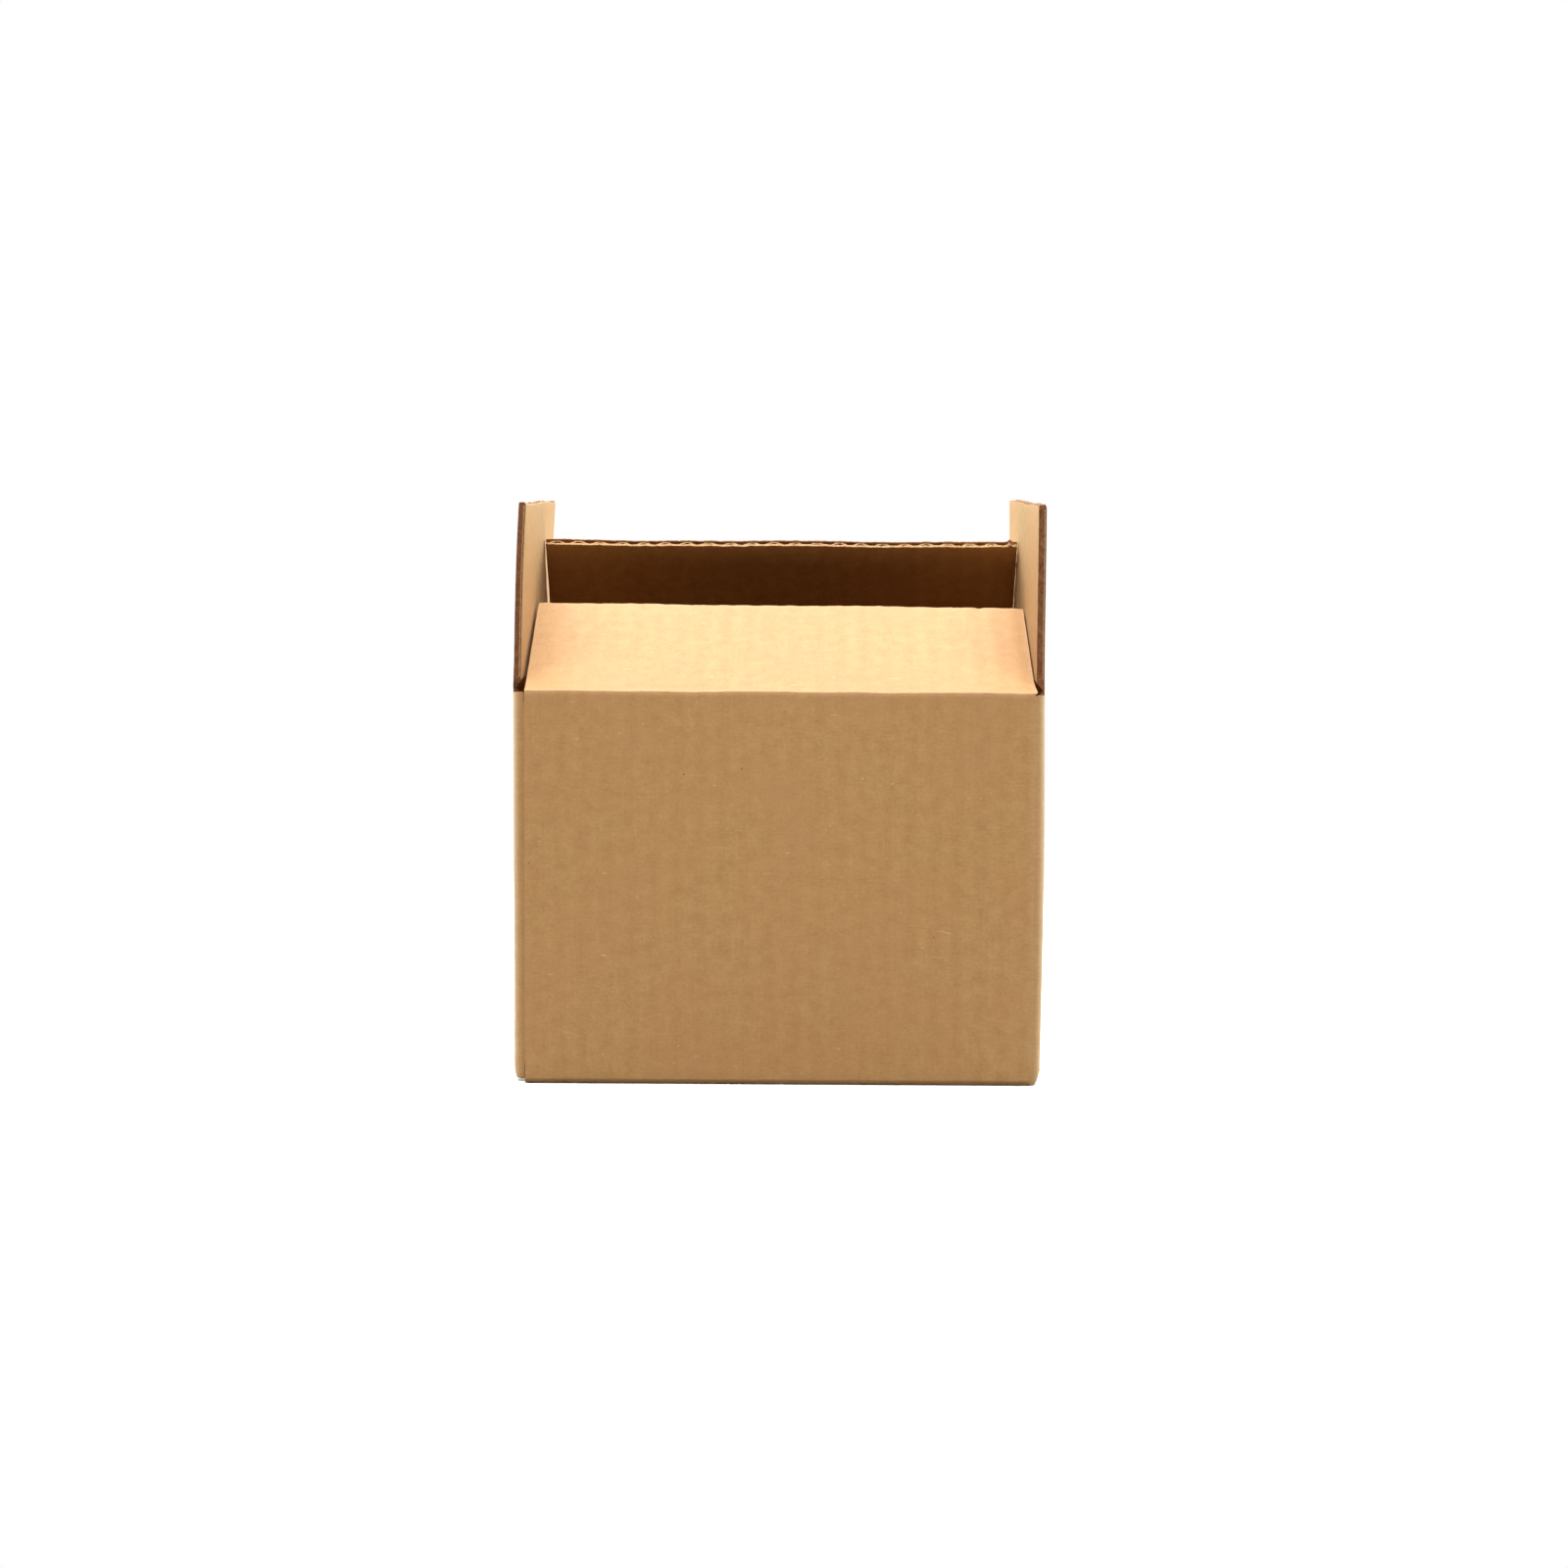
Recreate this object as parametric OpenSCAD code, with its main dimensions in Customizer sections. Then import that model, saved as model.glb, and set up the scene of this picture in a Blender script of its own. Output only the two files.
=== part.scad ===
// Plain slotted carton of single-wall corrugated board, standing open: bottom closed, one glued
// corner, side flaps up, front flap folded in and back flap leaning in.
// Front is -Y, the carton stands on Z = 0, and the origin is under the middle of its base.

/* [Carton] */
// Outside width, left to right
carton_w = 184; // [150:1:260]
// Outside depth, front to back
carton_d = 133; // [100:1:160]
// Height of the top fold lines above the ground
fold_h = 137.5; // [90:0.5:240]

/* [Board] */
// Thickness of the corrugated board
board_t = 3; // [2.4:0.1:4.5]
// Thickness of each flat facing
liner_t = 0.4; // [0.25:0.05:0.6]
// Thickness of the wavy sheet between the facings
medium_t = 0.35; // [0.2:0.05:0.5]
// Length of one full wave of that sheet
flute_pitch = 8.1; // [6:0.1:10]
// How deep its crests are bedded in the facings
glue_bed = 0.06; // [0.03:0.01:0.12]

/* [Folds] */
// Inside radius of the upright folds and the bottom folds
fold_r = 0.8; // [0.4:0.1:2.5]
// Width of the creased line between a wall and its top flap
crease_gap = 0.2; // [0.1:0.05:0.4]
// How far the slots between the top flaps reach below the fold lines
slot_drop = 1; // [0.5:0.1:3]

/* [Flaps] */
// Gap that the front and back flaps leave when they lie closed
meet_gap = 2; // [1:0.5:12]
// Gap between the ends of a flap and what stands beside it
flap_clear = 0.3; // [0.2:0.05:1]
// Angle by which the front flap leans inwards from upright, in degrees
front_angle = 65; // [0:0.5:88]
// Angle by which the back flap leans inwards from upright, in degrees
back_angle = 39.5; // [0:0.5:88]
// Angle by which the left flap leans inwards from upright, in degrees
left_angle = 1; // [0:0.1:3]
// Angle by which the right flap leans inwards from upright, in degrees
right_angle = 0.5; // [0:0.1:3]

/* [Glued corner] */
// Distance from the left wall's face to the front panel's cut edge
seam_inset = 4.2; // [3.5:0.1:8]
// Width of the tab glued behind the front panel
tab_w = 32; // [20:1:45]
// How much each end of the tab slants back over its width
tab_slant = 9; // [2:1:20]

/* [Hidden] */
$fn = 48;

kraft = [0.72, 0.56, 0.38];
kraft_flap = [0.79, 0.63, 0.44];

// Outside radius of a fold, and the outside half sizes
fold_or = fold_r + board_t;
half_w = carton_w / 2;
half_d = carton_d / 2;

// All flaps are cut on one line of the blank, so one length serves them all
flap_len = (carton_d - meet_gap) / 2;
side_base_len = min(flap_len, (carton_w - meet_gap) / 2);

// The side walls fold in above the front and back base flaps
front_base = 0;
side_base = board_t;
corner_lo = board_t;
corner_hi = fold_h - slot_drop;

// Ends of the top flaps, clear of the corner folds and of the side flaps that lean in
side_end = fold_or + flap_clear;
left_end = max(side_end, board_t + flap_len * tan(left_angle) + flap_clear);
right_end = max(side_end, board_t + flap_len * tan(right_angle) + flap_clear);
front_left_end = max(left_end, seam_inset);

// The tab keeps clear of the side base flap and of the front flap lying closed
tab_lo = side_base + fold_or + flap_clear;
tab_hi = fold_h - board_t - crease_gap - flap_clear;

// Middle line and height of the wave, and half the width of a hollow as an angle of the wave
board_mid = board_t / 2;
wave_amp = board_mid - liner_t - medium_t / 2 + glue_bed;
hollow_angle = acos((liner_t + medium_t / 2 - board_mid) / wave_amp);
hollow_steps = 8;

// Cuts run this far past the faces they open
over = 1;

// A quarter of a bent board, seen from its end, with its centre at the origin
module bend_profile() {
    intersection() {
        difference() {
            circle(fold_or);
            circle(fold_r);
        }
        translate([-fold_or, -fold_or])
            square(fold_or);
    }
}

// One wall with its base flap, seen from its end: outer face on X = 0, scored bevel at the top
module wall_profile(base, base_len) {
    wall_foot = base + fold_or;
    wall_top = fold_h - crease_gap / 2;
    polygon([[0, wall_foot], [board_t, wall_foot], [board_t, wall_top - board_t], [0, wall_top]]);
    translate([fold_or, wall_foot])
        bend_profile();
    translate([fold_or, base])
        square([base_len - fold_or, board_t]);
}

// That profile carried along its wall. The turn takes the front wall's place to the other sides
module folded_wall(turn, reach, from, to, base, base_len) {
    rotate([0, 0, turn])
        translate([from, -reach, 0])
            rotate([90, 0, 90])
                linear_extrude(to - from)
                    wall_profile(base, base_len);
}

// Upright fold between two walls, a quarter of a tube from its start angle on
module corner_fold(x, y, start) {
    translate([x, y, corner_lo])
        rotate([0, 0, start])
            rotate_extrude(angle = 90)
                translate([fold_r, 0])
                    square([board_t, corner_hi - corner_lo]);
}

// Tab of the left wall, glued behind the front panel, with slanting ends
module glue_tab() {
    tab_x = fold_or - half_w;
    translate([tab_x, board_t * 2 - half_d, 0])
        rotate([90, 0, 0])
            linear_extrude(board_t)
                polygon([
                    [0, tab_lo],
                    [tab_w, tab_lo + tab_slant],
                    [tab_w, tab_hi - tab_slant],
                    [0, tab_hi]
                ]);
}

module carton_body() {
    color(kraft) {
        folded_wall(0, half_d, seam_inset - half_w, half_w - fold_or, front_base, flap_len);
        folded_wall(180, half_d, fold_or - half_w, half_w - fold_or, front_base, flap_len);
        folded_wall(90, half_w, fold_or - half_d, half_d - fold_or, side_base, side_base_len);
        folded_wall(-90, half_w, fold_or - half_d, half_d - board_t - fold_or, side_base, side_base_len);
        corner_fold(half_w - fold_or, fold_or - half_d, -90);
        corner_fold(half_w - fold_or, half_d - fold_or, 0);
        corner_fold(fold_or - half_w, half_d - fold_or, 90);
        corner_fold(fold_or - half_w, board_t + fold_or - half_d, 180);
        glue_tab();
    }
}

// End of one hollow of the board, an arch of the wave over the outer facing
module hollow_arch() {
    polygon([
        for (i = [0:hollow_steps])
            let (a = hollow_angle * (2 * i / hollow_steps - 1))
                [a / 360 * flute_pitch, board_mid + wave_amp * cos(a) - medium_t / 2]
    ]);
}

// Ends of all the hollows over a width, half of them turned over to the inner facing
module hollow_row(from, to) {
    first = ceil(from / flute_pitch - 0.5);
    last = floor(to / flute_pitch + 0.5);
    for (i = [first:last]) {
        translate([i * flute_pitch, 0])
            hollow_arch();
        translate([(i + 0.5) * flute_pitch, board_t])
            mirror([0, 1])
                hollow_arch();
    }
}

// Side view of a flap from its bevelled fold to a given length, with skin kept over the bevel
module flap_profile(skin, length) {
    foot = crease_gap / 2 + skin;
    polygon([[-skin, foot - skin], [board_t + skin, foot + board_t + skin],
        [board_t + skin, length], [-skin, length]]);
}

// A flap standing up from its fold line, which is the X axis, with its outer face on Y = 0
module flap_board(from, to) {
    skin = liner_t * sqrt(2);
    difference() {
        translate([from, 0, 0])
            rotate([90, 0, 90])
                linear_extrude(to - from)
                    flap_profile(0, flap_len);
        intersection() {
            linear_extrude(flap_len + over)
                hollow_row(from, to);
            translate([from - flute_pitch, 0, 0])
                rotate([90, 0, 90])
                    linear_extrude(to - from + 2 * flute_pitch)
                        flap_profile(skin, flap_len + over);
        }
    }
}

// A flap turned to its side of the carton and leaned in about its fold line
module top_flap(turn, reach, lean, from, to) {
    color(kraft_flap)
        rotate([0, 0, turn])
            translate([0, -reach, fold_h])
                rotate([-lean, 0, 0])
                    flap_board(from, to);
}

module front_flap() {
    top_flap(0, half_d, front_angle, front_left_end - half_w, half_w - right_end);
}

module back_flap() {
    top_flap(180, half_d, back_angle, right_end - half_w, half_w - left_end);
}

module left_flap() {
    top_flap(-90, half_w, left_angle, side_end - half_d, half_d - side_end);
}

module right_flap() {
    top_flap(90, half_w, right_angle, side_end - half_d, half_d - side_end);
}

carton_body();
front_flap();
back_flap();
left_flap();
right_flap();
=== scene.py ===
"""Shipping box: an open slotted carton of plain kraft corrugated board.

The carton is folded from one sheet. Its sleeve of four walls, glued at the front left corner,
and its closed base ride on the carton's body. Each top flap is open corrugated board, two
facings with a wavy sheet between them, on a body of its own. A creased strip joins each flap
to its wall. All lengths in the classes are millimetres.
"""

import logging
import math
from collections.abc import Callable
from dataclasses import dataclass, field
from enum import Enum

import bmesh
import bpy
import numpy as np
from mathutils import Matrix, Vector


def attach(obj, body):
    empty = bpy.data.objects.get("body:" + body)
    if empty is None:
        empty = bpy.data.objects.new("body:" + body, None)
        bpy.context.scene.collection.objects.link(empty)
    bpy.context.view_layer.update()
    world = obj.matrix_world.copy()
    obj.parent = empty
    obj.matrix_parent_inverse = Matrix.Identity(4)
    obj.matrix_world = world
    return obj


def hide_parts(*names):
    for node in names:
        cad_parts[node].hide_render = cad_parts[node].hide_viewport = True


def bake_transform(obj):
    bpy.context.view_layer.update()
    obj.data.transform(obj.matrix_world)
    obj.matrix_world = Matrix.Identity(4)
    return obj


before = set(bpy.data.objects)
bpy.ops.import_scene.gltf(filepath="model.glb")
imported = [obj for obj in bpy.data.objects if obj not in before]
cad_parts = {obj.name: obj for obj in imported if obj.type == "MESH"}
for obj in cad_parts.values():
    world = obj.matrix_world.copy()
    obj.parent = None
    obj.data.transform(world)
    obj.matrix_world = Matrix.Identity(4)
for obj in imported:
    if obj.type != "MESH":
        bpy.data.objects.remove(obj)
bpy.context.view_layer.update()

log = logging.getLogger("carton")
MM = 0.001
# Points nearer than this are one point, and an edge that turns by more than this stays sharp
MERGE_M = 2e-6
SHARP_DEG = 38.0
# The inner face's pattern is read this far off in depth, so that it isn't the outer face's
INNER_SHIFT = 500.0
Array = np.ndarray
Place = Callable[[Array, Array, Array], Array]
Rims = tuple[tuple[str, slice], ...]
Pair = tuple[float, float]
Triple = tuple[float, float, float]


class Paper(Enum):
    """Which paper a face shows; the value is its place among a piece's materials."""

    LINER = 0
    CUT = 1
    MEDIUM = 2
    # Crushed ends, their dark brown a painted shade
    SHADED_END = 3


class Side(Enum):
    """A side of the carton; the value is the turn in degrees from the front wall's place."""

    FRONT = 0
    RIGHT = 90
    BACK = 180
    LEFT = -90


def ramp(x: Array, low: float, high: float) -> Array:
    """Smooth step: 0 up to low, 1 from high on, and 3t^2 - 2t^3 of the share t between.

    Args:
        x: Places to work out.
        low: Where the step starts.
        high: Where it ends.

    Returns:
        The step's height at each place.
    """
    t = np.clip((x - low) / (high - low), 0.0, 1.0)
    return t * t * (3.0 - 2.0 * t)


def ragged(x: Array, step: float, depth: float, seed: int) -> Array:
    """Torn line: random heights at even steps, joined by straight lines.

    Args:
        x: Places along the line.
        step: Distance between the random heights.
        depth: Largest height to either side.
        seed: Start of the random draw.

    Returns:
        The height at each place.
    """
    low, high = float(np.min(x)), float(np.max(x))
    marks = np.arange(low - step, high + 2.0 * step, step)
    heights = np.random.default_rng(seed).uniform(-depth, depth, len(marks))
    return np.interp(x, marks, heights)


def rolling(x: Array, length: float, depth: float, seed: int) -> Array:
    """Slow wander: three sines of random phase, at a length, its half and its third.

    Args:
        x: Places along the line.
        length: Longest wave.
        depth: Height of that wave; the others have a half and a third of it.
        seed: Start of the random draw.

    Returns:
        The height at each place.
    """
    phases = np.random.default_rng(seed).uniform(0.0, 2.0 * np.pi, 3)
    order = np.arange(1, 4)
    waves = np.sin(2.0 * np.pi * np.multiply.outer(x, order) / length + phases)
    return (waves * depth / order).sum(-1)


def bell(x: Array, width: float | Array) -> Array:
    """Bell curve exp(-(x / width)^2), which is 1 at its middle."""
    return np.exp(-((x / width) ** 2))


def whole(*names: str) -> Rims:
    """Rims that close the whole of each named border."""
    return tuple((name, slice(None)) for name in names)


ALL_ROUND = whole("r0", "r1", "c0", "c1")


def put(name: str, data: bpy.types.ID) -> bpy.types.Object:
    """Makes an object and links it to the scene.

    Args:
        name: The object's name.
        data: Its mesh, light or camera.

    Returns:
        The object, at the origin.
    """
    made = bpy.data.objects.new(name, data)
    bpy.context.scene.collection.objects.link(made)
    return made


class Sheet:
    """Gathers slabs of board, each a pair of grids of points, into one mesh."""

    def __init__(self, name: str) -> None:
        """Starts an empty piece.

        Args:
            name: The piece's name.
        """
        self.name = name
        self.points: list[Array] = []
        self.flat: list[Array] = []
        self.wear_highlight_share: list[Array] = []
        self.faces: list[Array] = []
        self.papers: list[Array] = []
        self.count = 0

    def slab(
        self,
        outer: Array,
        inner: Array,
        flat: Array,
        wear_highlight_share: Array | float = 0.0,
        skin: Paper = Paper.LINER,
        rims: Rims = (),
        ends: Paper = Paper.CUT,
        sides: Paper = Paper.CUT,
    ) -> None:
        """Adds two faces of board that lie point over point, and the rims that close them.

        Each face is a grid of quads; a rim is a strip of quads between the two grids' borders.
        All are wound so that they look away from the board between the two grids.

        Args:
            outer: Points of the outer face, rows by columns by 3.
            inner: Points of the inner face, of the same shape.
            flat: Where each point lies on the flat sheet, rows by columns by 2.
            wear_highlight_share: How worn each point is, with its painted highlight, from 0 to 1.
            skin: Paper of the two faces.
            rims: Borders to close, as a name (r0, r1: first and last row, c0, c1: columns)
                and the part of the border.
            ends: How the first and last rows are cut.
            sides: How the first and last columns are cut.
        """
        rows, cols = outer.shape[:2]
        top = self.count + np.arange(rows * cols).reshape(rows, cols)
        under = top + rows * cols
        across = outer[1:, :-1] - outer[:-1, :-1]
        along = outer[:-1, 1:] - outer[:-1, :-1]
        facing = (np.cross(across, along) * (outer - inner)[:-1, :-1]).sum()
        turn = 1 if facing >= 0.0 else -1
        borders = {
            "r0": (top[0], under[0], turn),
            "r1": (top[-1], under[-1], -turn),
            "c0": (top[:, 0], under[:, 0], -turn),
            "c1": (top[:, -1], under[:, -1], turn),
        }
        for grid, way in ((top, turn), (under, -turn)):
            quads = np.stack([grid[:-1, :-1], grid[1:, :-1], grid[1:, 1:], grid[:-1, 1:]], -1)
            self._take(quads.reshape(-1, 4)[:, ::way], skin)
        for name, part in rims:
            near, far, way = borders[name]
            near, far = near[part], far[part]
            strip = np.stack([near[:-1], near[1:], far[1:], far[:-1]], -1)
            self._take(strip[:, ::way], ends if name in ("r0", "r1") else sides)
        for grid, shift in ((outer, 0.0), (inner, INNER_SHIFT)):
            layer = np.full((rows, cols, 1), shift)
            self.points.append(grid.reshape(-1, 3))
            self.flat.append(np.concatenate([flat, layer], -1).reshape(-1, 3))
            self.wear_highlight_share.append(np.broadcast_to(wear_highlight_share, (rows, cols)).ravel())
        self.count += 2 * rows * cols

    def _take(self, quads: Array, paper: Paper) -> None:
        """Keeps quads and the paper that they show."""
        self.faces.append(quads)
        self.papers.append(np.full(len(quads), paper.value))

    def build(self, papers: list[bpy.types.Material]) -> bpy.types.Object:
        """Makes the mesh: points to metres, doubles merged, smooth but for its sharp edges.

        Args:
            papers: The piece's materials, in the order of Paper.

        Returns:
            The piece, at the origin.
        """
        mesh = bpy.data.meshes.new(self.name)
        mesh.from_pydata(np.concatenate(self.points) * MM, [], np.concatenate(self.faces))
        mesh.polygons.foreach_set("material_index", np.concatenate(self.papers).astype(np.int32))
        place = mesh.attributes.new("flat_place", "FLOAT_VECTOR", "POINT")
        flat = (np.concatenate(self.flat) * MM).astype(np.float32)
        place.data.foreach_set("vector", flat.ravel())
        # Share of the paler rubbed colour: wear, and painted highlight at folds and corners
        wear_and_highlight = mesh.attributes.new("wear_and_highlight", "FLOAT", "POINT")
        wear_and_highlight.data.foreach_set("value", np.concatenate(self.wear_highlight_share).astype(np.float32))
        joined = bmesh.new()
        joined.from_mesh(mesh)
        bmesh.ops.remove_doubles(joined, verts=joined.verts, dist=MERGE_M)
        joined.to_mesh(mesh)
        joined.free()
        mesh.shade_smooth()
        mesh.set_sharp_from_angle(angle=math.radians(SHARP_DEG))
        for paper in papers:
            mesh.materials.append(paper)
        piece = put(self.name, mesh)
        log.info("%s: %d faces", self.name, len(mesh.polygons))
        return piece


def linear(code: str) -> tuple[float, float, float, float]:
    """Turns an sRGB hex colour into Blender's linear one.

    Args:
        code: Colour such as "#b18759".

    Returns:
        Linear red, green and blue, and an alpha of 1.
    """
    parts = [int(code[i : i + 2], 16) / 255.0 for i in (1, 3, 5)]
    red, green, blue = (p / 12.92 if p <= 0.04045 else ((p + 0.055) / 1.055) ** 2.4 for p in parts)
    return red, green, blue, 1.0


def add(
    tree: bpy.types.NodeTree,
    kind: str,
    settings: dict[str, object] | None = None,
    inputs: dict[str | int, object] | None = None,
) -> bpy.types.Node:
    """Adds one node to a tree with its settings, values and links.

    Args:
        tree: Tree to add to.
        kind: The node's type, without the leading ShaderNode.
        settings: Properties of the node.
        inputs: For each input, by name or place, a value or the socket to link from.

    Returns:
        The node.
    """
    made = tree.nodes.new("ShaderNode" + kind)
    for name, value in (settings or {}).items():
        setattr(made, name, value)
    for name, value in (inputs or {}).items():
        if isinstance(value, bpy.types.NodeSocket):
            tree.links.new(value, made.inputs[name])
        else:
            made.inputs[name].default_value = value
    return made


def new_material(name: str) -> tuple[bpy.types.Material, bpy.types.NodeTree, bpy.types.NodeSocket]:
    """Makes an empty material.

    Args:
        name: The material's name.

    Returns:
        The material, its node tree and the surface socket of its output.
    """
    made = bpy.data.materials.new(name)
    made.use_nodes = True
    made.node_tree.nodes.clear()
    output = add(made.node_tree, "OutputMaterial")
    return made, made.node_tree, output.inputs["Surface"]


def per_metre(size: float) -> float:
    """Scale of a pattern whose features are this many millimetres apart."""
    return 1.0 / (size * MM)


@dataclass(frozen=True)
class KraftLiner:
    """Unbleached kraft linerboard, machine-made and glued over flutes.

    The web of long brown fibres gives cloudy tone, short streaks along the sheet, a few bark
    specks and pale fibres, and the flutes under it show as faint upright bands, partly painted
    shade of their washboard. Handling leaves the folds and edges paler and fuzzier; at the
    corners and folds that paler colour is also a painted highlight. Matt, with a faint sheen off
    the fibres.
    Sizes of three numbers are along, up and through the sheet.
    """

    dark: str = "#aa7d48"
    light: str = "#c99e68"
    rosy: str = "#bd8b5a"
    bark: str = "#76502f"
    fibre: str = "#e0bf92"
    rubbed_and_highlight: str = "#cba67a"
    cloud: Triple = (5.0, 5.0, 5.0)
    patch: Triple = (32.0, 32.0, 32.0)
    grain: Triple = (1.1, 1.1, 1.1)
    streak: Triple = (3.6, 0.7, 1000.0)
    line: Triple = (1.1, 14.0, 1000.0)
    strand: Triple = (21.0, 4.0, 1000.0)
    strand_bend: float = 9.0
    speck: float = 13.0
    pitch: float = 8.1

    def make(self) -> bpy.types.Material:
        """Draws the paper on its place on the flat sheet.

        Each tone is a noise of its own size. Their weighted sum picks a brown between the dark
        and the light one. Blush, specks, strands, and wear with its painted highlight, are laid
        over it in turn.

        Returns:
            The material.
        """
        made, tree, surface = new_material("kraft_linerboard_machine_made")
        place = add(tree, "Attribute", {"attribute_name": "flat_place"}).outputs["Vector"]
        wear_and_highlight = add(tree, "Attribute", {"attribute_name": "wear_and_highlight"}).outputs["Fac"]
        # Cloudy formation of the fibre web, slow drift of hue across a panel, fine mottle of
        # single fibres, streaks along the web, drawn about twice as coarse as real to show, and
        # thin upright lines
        tones: dict[str, bpy.types.NodeSocket] = {}
        for name, size, detail, rough, bend in (
            ("cloud", self.cloud, 4.0, 0.62, 0.0),
            ("patch", self.patch, 2.0, 0.5, 0.0),
            ("grain", self.grain, 3.0, 0.6, 0.0),
            ("streak", self.streak, 3.0, 0.6, 0.6),
            ("line", self.line, 2.0, 0.55, 0.0),
        ):
            spot = add(tree, "VectorMath", {"operation": "MULTIPLY"}, {
                0: place, 1: tuple(map(per_metre, size)),
            }).outputs["Vector"]
            tones[name] = add(tree, "TexNoise", None, {
                "Vector": spot, "Scale": 1.0, "Detail": detail, "Roughness": rough,
                "Distortion": bend,
            }).outputs["Fac"]
        # Flutes show through as bands one pitch apart: show-through, and painted shade of their
        # washboard
        spread = add(tree, "SeparateXYZ", None, {0: place}).outputs["X"]
        turns = add(tree, "Math", {"operation": "MULTIPLY"}, {
            0: spread, 1: 2.0 * math.pi * per_metre(self.pitch),
        }).outputs[0]
        tones["flute_and_shade"] = add(tree, "Math", {"operation": "COSINE"}, {0: turns}).outputs[0]
        # Bark specks and pale fibres, sparse and small
        speck = add(tree, "TexVoronoi", None, {"Vector": place, "Scale": per_metre(self.speck)})
        bent = add(tree, "VectorMath", {"operation": "MULTIPLY_ADD"}, {
            0: place, 1: tuple(map(per_metre, self.strand)),
            2: add(tree, "TexNoise", None, {
                "Vector": place, "Scale": per_metre(self.strand_bend),
            }).outputs["Color"],
        }).outputs["Vector"]
        strand = add(tree, "TexVoronoi", None, {"Vector": bent, "Scale": 1.0})
        # Handling wear, and at the corners and folds a painted highlight, laid on in streaks as the
        # rubbed colour
        rub_and_highlight = add(tree, "Math", {"operation": "MULTIPLY"}, {0: wear_and_highlight, 1: tones["streak"]})
        tone: bpy.types.NodeSocket | float = 0.0
        # Sum of the tones; the flute bands in it are show-through and painted washboard shade
        for name, weight in (
            ("cloud", 0.75), ("streak", 0.5), ("line", 0.22), ("grain", 0.6), ("flute_and_shade", 0.035),
        ):
            tone = add(tree, "Math", {"operation": "MULTIPLY_ADD"}, {
                0: tones[name], 1: weight, 2: tone,
            }).outputs[0]
        brown: bpy.types.NodeSocket | tuple[float, ...] = linear(self.dark)
        for source, low, high, least, most, code in (
            (tone, 0.65, 1.42, 0.0, 1.0, self.light),
            (tones["patch"], 0.4, 0.68, 0.0, 0.35, self.rosy),
            (speck.outputs["Distance"], 0.018, 0.034, 0.75, 0.0, self.bark),
            (strand.outputs["Distance"], 0.03, 0.07, 0.5, 0.0, self.fibre),
            (rub_and_highlight.outputs[0], 0.0, 1.0, 0.0, 1.0, self.rubbed_and_highlight),
        ):
            share = add(tree, "MapRange", None, {0: source, 1: low, 2: high, 3: least, 4: most})
            brown = add(tree, "Mix", {"data_type": "RGBA"}, {
                0: share.outputs[0], 6: brown, 7: linear(code),
            }).outputs[2]
        # Relief: fibres a few hundredths of a millimetre high, over the flutes' washboard
        height = add(tree, "Math", {"operation": "MULTIPLY_ADD"}, {
            0: tones["flute_and_shade"], 1: 0.35, 2: tone,
        }).outputs[0]
        relief = add(tree, "Bump", None, {"Strength": 0.5, "Distance": 0.12 * MM, "Height": height})
        rough = add(tree, "MapRange", None, {
            0: tones["streak"], 1: 0.3, 2: 0.7, 3: 0.58, 4: 0.76,
        }).outputs[0]
        shader = add(tree, "BsdfPrincipled", None, {
            "Base Color": brown, "Roughness": rough, "Normal": relief.outputs["Normal"],
            "IOR": 1.5, "Specular IOR Level": 0.35, "Sheen Weight": 0.02, "Sheen Roughness": 0.5,
        })
        tree.links.new(shader.outputs[0], surface)
        return made


@dataclass(frozen=True)
class BareFibre:
    """Kraft fibre that no press has laid flat: tufts, paler on top, dull and rough."""

    name: str
    pale: str
    dark: str
    tuft: float
    knots: float = 0.7
    share: Pair = (0.32, 0.66)
    relief: Pair = (0.7, 0.2)
    dull: float = 0.92
    gloss: float = 0.25
    on_sheet: bool = False

    def make(self) -> bpy.types.Material:
        """Draws the tufts on Object coordinates, or on their place on the flat sheet.

        Returns:
            The material.
        """
        made, tree, surface = new_material(self.name)
        if self.on_sheet:
            place = add(tree, "Attribute", {"attribute_name": "flat_place"}).outputs["Vector"]
        else:
            place = add(tree, "TexCoord").outputs["Object"]
        fuzz = add(tree, "TexNoise", None, {
            "Vector": place, "Scale": per_metre(self.tuft), "Detail": 4.0, "Roughness": self.knots,
        }).outputs["Fac"]
        low, high = self.share
        share = add(tree, "MapRange", None, {0: fuzz, 1: low, 2: high, 3: 0.0, 4: 1.0}).outputs[0]
        brown = add(tree, "Mix", {"data_type": "RGBA"}, {
            0: share, 6: linear(self.dark), 7: linear(self.pale),
        }).outputs[2]
        strength, rise = self.relief
        relief = add(tree, "Bump", None, {
            "Strength": strength, "Distance": rise * MM, "Height": fuzz,
        })
        shader = add(tree, "BsdfPrincipled", None, {
            "Base Color": brown, "Normal": relief.outputs["Normal"],
            "Roughness": self.dull, "IOR": 1.5, "Specular IOR Level": self.gloss,
        })
        tree.links.new(shader.outputs[0], surface)
        return made


@dataclass(frozen=True)
class CutBoard(BareFibre):
    """Raw edge of kraft board, sheared by slotting knives.

    The fibres stand out of the cut, so the edge is paler than the faces, fuzzy and quite dull.
    """

    name: str = "kraft_board_sheared_edge"
    pale: str = "#cfab7c"
    dark: str = "#9d7349"
    tuft: float = 0.9


@dataclass(frozen=True)
class ShadedCrushedEnd(BareFibre):
    """End of a flap, crushed and torn off by blunt slotting knives.

    The crushed fibres lie in the shade of each other, and the end is ragged. Its dark brown is
    painted shade, the shade that falls in the crushed, hollow end.
    """

    name: str = "kraft_board_crushed_end_painted_shade"
    pale: str = "#946441"
    dark: str = "#6e4227"
    tuft: float = 1.4


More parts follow.
